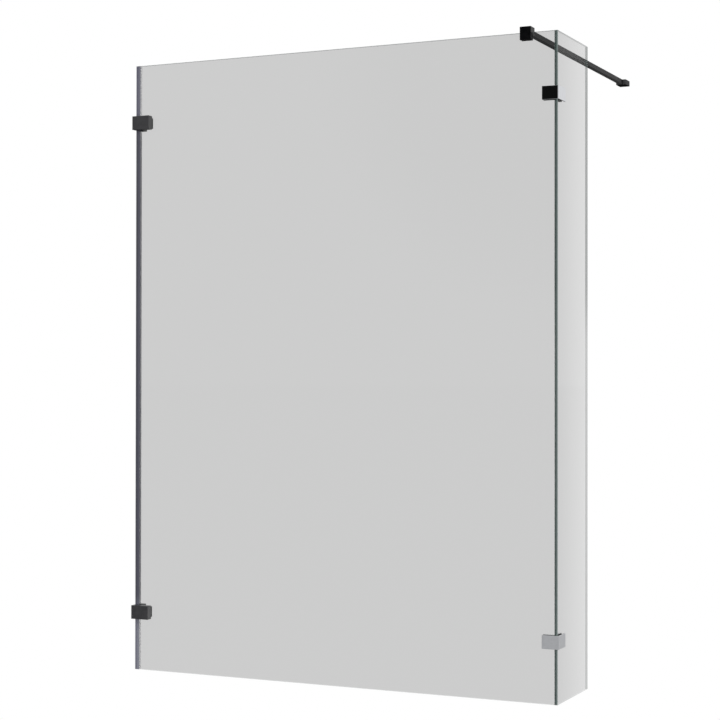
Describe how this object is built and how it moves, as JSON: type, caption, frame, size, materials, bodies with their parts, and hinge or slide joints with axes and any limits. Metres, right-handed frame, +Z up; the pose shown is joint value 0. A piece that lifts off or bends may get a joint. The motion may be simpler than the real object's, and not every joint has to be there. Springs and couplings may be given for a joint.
{
  "type": "walk-in shower screen",
  "caption": "Walk-in shower screen: a wide clear glass panel held to a side wall, a narrow return panel square to its free end and a square support bar from its top edge to the back wall.",
  "frame": {"origin": "middle of the bottom edge of the front glass, on the middle plane of its thickness, at floor level", "axes": "+X along the front glass from the side wall to the free corner, +Y from outside into the shower towards the back wall, +Z up"},
  "size_m": [1.3985, 1.014, 1.9168],
  "materials": {
    "clear_glass": "clear, polished edges with a green tint",
    "clear_seal": "clear glossy",
    "grey_seal": "translucent grey, satin",
    "dark_metal": "satin anthracite",
    "chrome": "polished",
    "gasket": "matte",
    "nylon": "matte",
    "steel": "satin"
  },
  "bodies": {
    "root": {"front_glass": "clear_glass", "return_glass": "clear_glass", "corner_seal": "clear_seal", "wall_seal_bottom": "grey_seal", "wall_seal_middle": "grey_seal", "wall_seal_top": "grey_seal", "upper_wall_bracket_body": "dark_metal", "upper_wall_bracket_clamp_plate": "dark_metal", "upper_wall_bracket_front_gasket": "gasket", "upper_wall_bracket_rear_gasket": "gasket", "upper_corner_bracket_outer_plate": "chrome", "upper_corner_bracket_inner_angle": "chrome", "upper_corner_bracket_outer_gasket": "gasket", "upper_corner_bracket_inner_gasket": "gasket", "lower_wall_bracket_body": "dark_metal", "lower_wall_bracket_clamp_plate": "dark_metal", "lower_wall_bracket_front_gasket": "gasket", "lower_wall_bracket_rear_gasket": "gasket", "lower_corner_bracket_outer_plate": "chrome", "lower_corner_bracket_inner_angle": "chrome", "lower_corner_bracket_outer_gasket": "gasket", "lower_corner_bracket_inner_gasket": "gasket", "wall_bracket_bushes": "nylon", "wall_bracket_screws": "steel", "corner_bracket_bushes": "nylon", "corner_bracket_screws": "steel", "bar_clamp_body": "dark_metal", "bar_clamp_liner": "gasket", "bar_clamp_pressure_plate": "dark_metal", "bar_clamp_screws": "steel", "support_bar": "dark_metal", "bar_plug_glass_end": "nylon", "bar_plug_wall_end": "nylon", "wall_foot_base": "dark_metal", "wall_foot_socket": "dark_metal", "grub_screws": "steel"}
  },
  "joints": []
}
